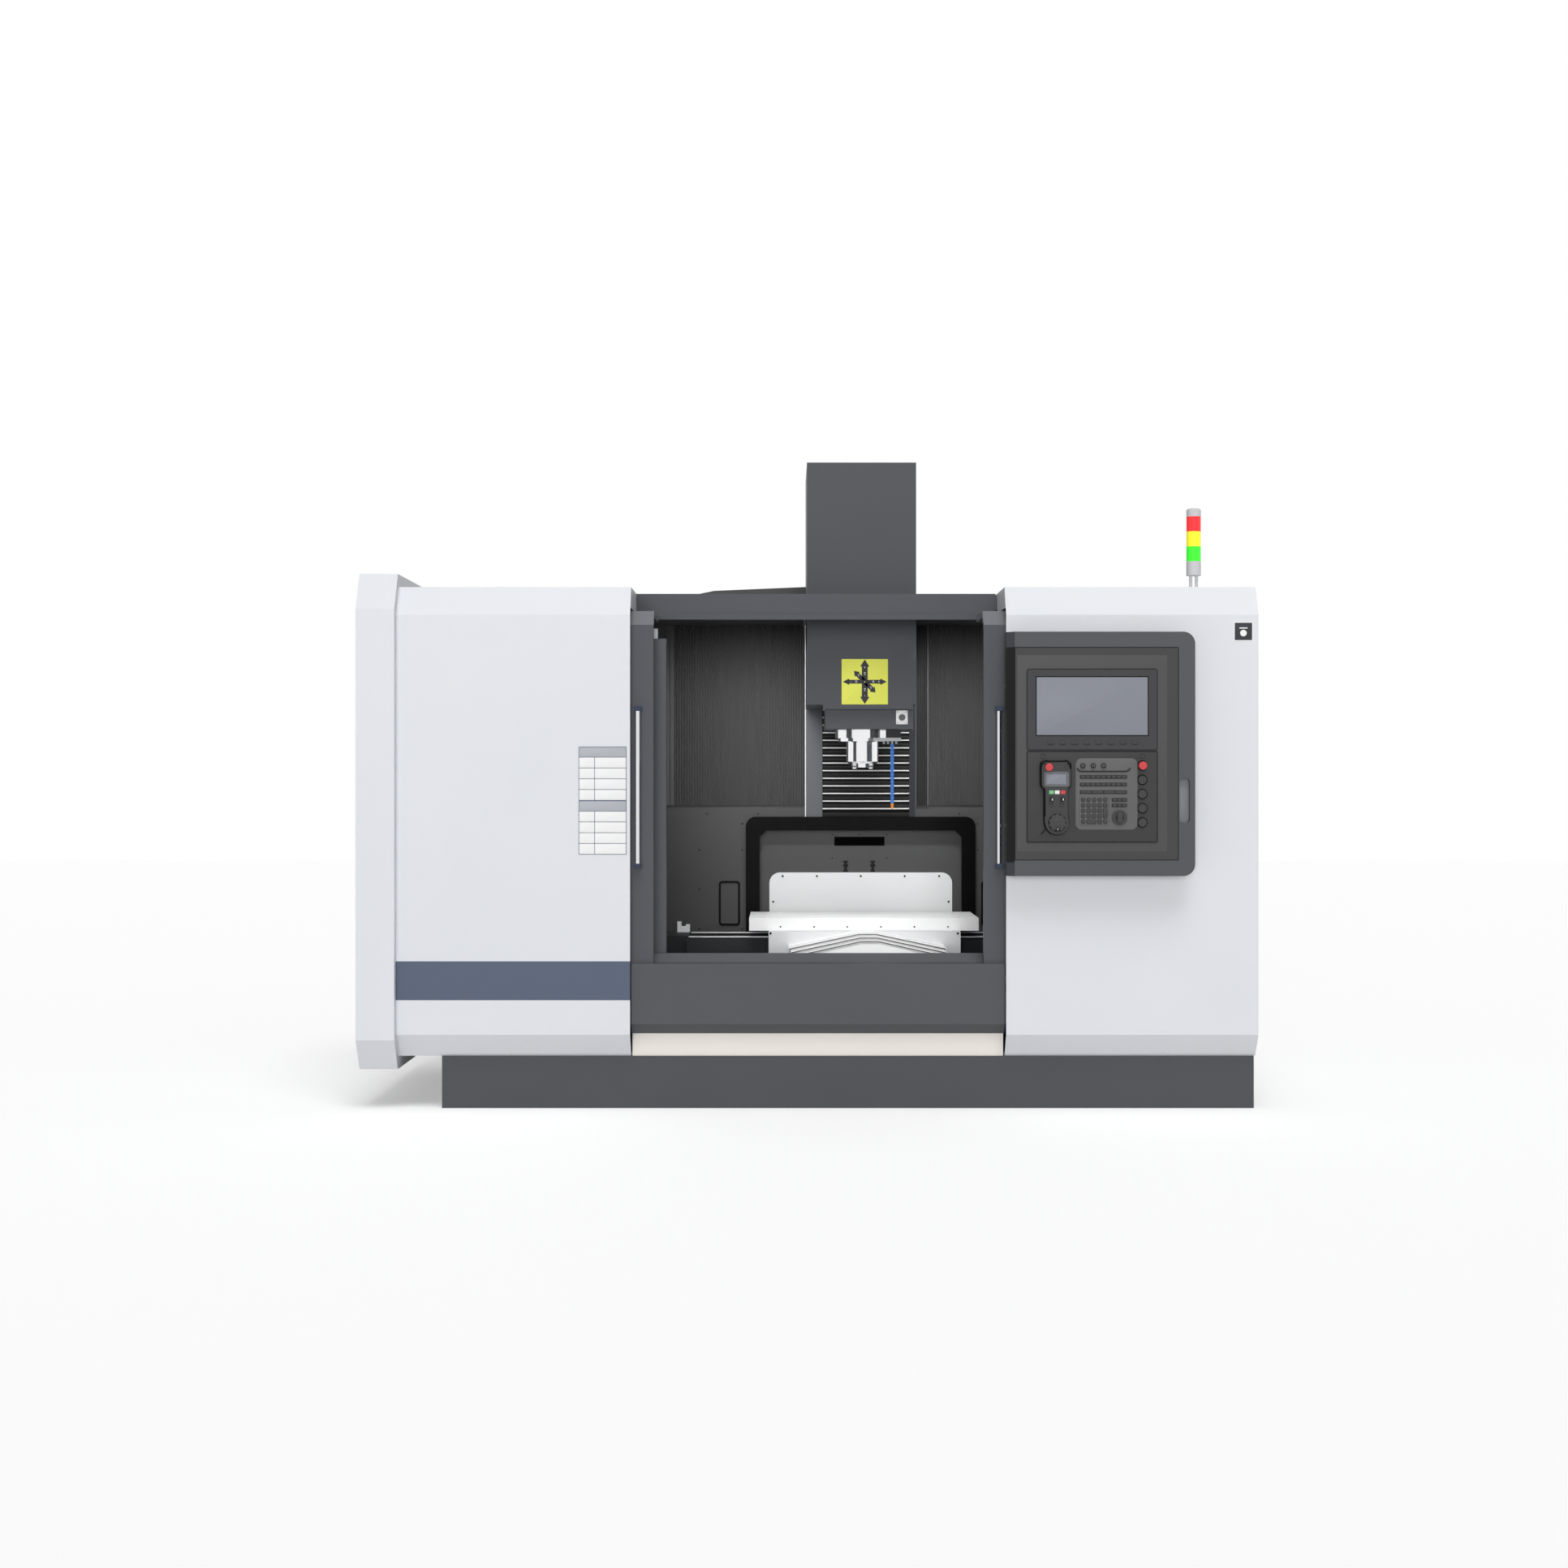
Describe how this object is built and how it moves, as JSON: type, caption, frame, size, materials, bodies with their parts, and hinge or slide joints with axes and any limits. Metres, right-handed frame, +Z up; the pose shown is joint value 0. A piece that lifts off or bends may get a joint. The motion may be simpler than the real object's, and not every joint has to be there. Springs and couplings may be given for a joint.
{
  "type": "cnc machining center",
  "caption": "Vertical machining centre with sliding doors, swinging operator panel, moving table and spindle head, tool drum, signal lamp and rear cabinet.",
  "frame": {"origin": "centre of the overall footprint at floor level", "axes": "+X to the right as the operator faces the doors, +Y from the operator to the back, +Z up"},
  "size_m": [3.554, 2.24, 2.646],
  "materials": {
    "white_paint": "satin powder coat",
    "dark_paint": "satin powder coat",
    "base_paint": "satin powder coat",
    "cream_paint": "satin powder coat",
    "chamber_paint": "satin powder coat",
    "hood_paint": "satin powder coat",
    "casting_paint": "painted casting",
    "table_iron": "ground casting with painted edges",
    "rail_steel": "ground",
    "bright_steel": "polished",
    "handle_chrome": "polished tube",
    "drum_steel": "machined",
    "window_glass": "laminated",
    "black_rubber": "moulded",
    "bellows_cloth": "folded coated cloth with steel lips",
    "panel_paint": "satin powder coat",
    "screen_plastic": "moulded",
    "keypad_plastic": "moulded",
    "pendant_plastic": "moulded",
    "manifold_black": "anodised",
    "hose_plastic": "moulded",
    "stop_red": "moulded",
    "button_plastic": "moulded",
    "dial_plastic": "moulded",
    "lamp_grey": "moulded",
    "lens_green": "translucent",
    "lens_yellow": "translucent",
    "lens_red": "translucent"
  },
  "bodies": {
    "frame": {"base_pan": "base_paint", "kick_plate": "cream_paint", "front_apron": "dark_paint", "left_front_cover": "white_paint", "right_front_cover": "white_paint", "left_end_cover": "white_paint", "enclosure_panels": "white_paint", "top_beam": "dark_paint", "roof_panel": "chamber_paint", "chamber_lining": "chamber_paint", "rear_pleats": "chamber_paint", "arch_bezel": "black_rubber", "jamb_post": "hood_paint", "bed_casting": "casting_paint", "column_casting": "casting_paint", "guide_rails": "rail_steel", "magazine_cover": "chamber_paint", "electrical_cabinet": "white_paint", "rear_guard": "white_paint", "way_cover_4": "white_paint", "z_bellows": "bellows_cloth", "lamp_body": "lamp_grey", "lamp_green": "lens_green", "lamp_yellow": "lens_yellow", "lamp_red": "lens_red"},
    "saddle": {"saddle_casting": "casting_paint", "x_rails": "rail_steel", "cable_bracket": "rail_steel", "saddle_apron": "white_paint", "way_cover_1": "white_paint"},
    "cover_stage_2": {"way_cover_2": "white_paint"},
    "cover_stage_3": {"way_cover_3": "white_paint"},
    "work_table": {"table": "table_iron"},
    "head": {"head_casting": "hood_paint", "head_hood": "hood_paint", "spindle_cartridge": "bright_steel", "spindle_motor": "casting_paint", "coolant_manifold": "manifold_black", "coolant_hose": "hose_plastic"},
    "spindle": {"spindle_nose": "bright_steel"},
    "door_left": {"left_door": "dark_paint", "left_window": "window_glass", "left_door_handle": "handle_chrome"},
    "door_right": {"right_door": "dark_paint", "right_window": "window_glass", "right_door_handle": "handle_chrome"},
    "operator_panel": {"panel_housing": "panel_paint", "screen_unit": "screen_plastic", "keypad": "keypad_plastic", "pendant": "pendant_plastic"},
    "stop_button": {"emergency_stop": "stop_red"},
    "button_1": {"push_button_1": "button_plastic"},
    "button_2": {"push_button_2": "button_plastic"},
    "button_3": {"push_button_3": "button_plastic"},
    "button_4": {"push_button_4": "button_plastic"},
    "feed_dial": {"override_dial": "dial_plastic"},
    "pendant_wheel": {"handwheel": "dial_plastic"},
    "pendant_stop_button": {"pendant_stop": "stop_red"},
    "magazine_drum": {"tool_drum": "drum_steel"},
    "rear_cabinet_door": {"cabinet_door": "white_paint"}
  },
  "joints": [
    {"name": "y_axis", "type": "slide", "parent": "frame", "child": "saddle", "axis": [0, 1, 0], "range_m": [-0.37, 0.13]},
    {"name": "x_axis", "type": "slide", "parent": "saddle", "child": "work_table", "axis": [1, 0, 0], "range_m": [-0.4, 0.4]},
    {"name": "z_axis", "type": "slide", "parent": "frame", "child": "head", "axis": [0, 0, 1], "range_m": [-0.45, 0], "deforming": ["z_bellows"]},
    {"name": "spindle_spin", "type": "hinge", "parent": "head", "child": "spindle", "pos_m": [0.244, -0.09, 1.36], "axis": [0, 0, 1], "continuous": true},
    {"name": "cover_stage_2_slide", "type": "slide", "parent": "frame", "child": "cover_stage_2", "axis": [0, 1, 0], "range_m": [-0.247, 0.087]},
    {"name": "cover_stage_3_slide", "type": "slide", "parent": "frame", "child": "cover_stage_3", "axis": [0, 1, 0], "range_m": [-0.1235, 0.0435]},
    {"name": "left_door_slide", "type": "slide", "parent": "frame", "child": "door_left", "axis": [1, 0, 0], "range_m": [0, 0.653]},
    {"name": "right_door_slide", "type": "slide", "parent": "frame", "child": "door_right", "axis": [-1, 0, 0], "range_m": [0, 0.653]},
    {"name": "panel_swing", "type": "hinge", "parent": "frame", "child": "operator_panel", "pos_m": [0.785, -0.979, 1.4], "axis": [0, 0, -1], "range_deg": [0, 90]},
    {"name": "stop_press", "type": "slide", "parent": "operator_panel", "child": "stop_button", "axis": [0, 1, 0], "range_m": [0, 0.005], "stiffness_N_per_m": 1500},
    {"name": "button_1_press", "type": "slide", "parent": "operator_panel", "child": "button_1", "axis": [0, 1, 0], "range_m": [0, 0.004], "stiffness_N_per_m": 800},
    {"name": "button_2_press", "type": "slide", "parent": "operator_panel", "child": "button_2", "axis": [0, 1, 0], "range_m": [0, 0.004], "stiffness_N_per_m": 800},
    {"name": "button_3_press", "type": "slide", "parent": "operator_panel", "child": "button_3", "axis": [0, 1, 0], "range_m": [0, 0.004], "stiffness_N_per_m": 800},
    {"name": "button_4_press", "type": "slide", "parent": "operator_panel", "child": "button_4", "axis": [0, 1, 0], "range_m": [0, 0.004], "stiffness_N_per_m": 800},
    {"name": "dial_turn", "type": "hinge", "parent": "operator_panel", "child": "feed_dial", "pos_m": [1.213, -1.095, 1.155], "axis": [0, -1, 0], "range_deg": [-150, 150]},
    {"name": "wheel_turn", "type": "hinge", "parent": "operator_panel", "child": "pendant_wheel", "pos_m": [0.969, -1.105, 1.135], "axis": [0, -1, 0], "continuous": true},
    {"name": "pendant_stop_press", "type": "slide", "parent": "operator_panel", "child": "pendant_stop_button", "axis": [0, 1, 0], "range_m": [0, 0.005], "stiffness_N_per_m": 1200},
    {"name": "drum_turn", "type": "hinge", "parent": "frame", "child": "magazine_drum", "pos_m": [-0.242, 0.72, 1.72], "axis": [1, 0, 0], "continuous": true},
    {"name": "cabinet_door_swing", "type": "hinge", "parent": "frame", "child": "rear_cabinet_door", "pos_m": [1.589, 0.844, 1.14], "axis": [0, 0, -1], "range_deg": [0, 110]}
  ],
  "couplings": [
    {"joint": "cover_stage_2_slide", "follows": "y_axis", "ratio": 0.66667},
    {"joint": "cover_stage_3_slide", "follows": "y_axis", "ratio": 0.33333}
  ]
}
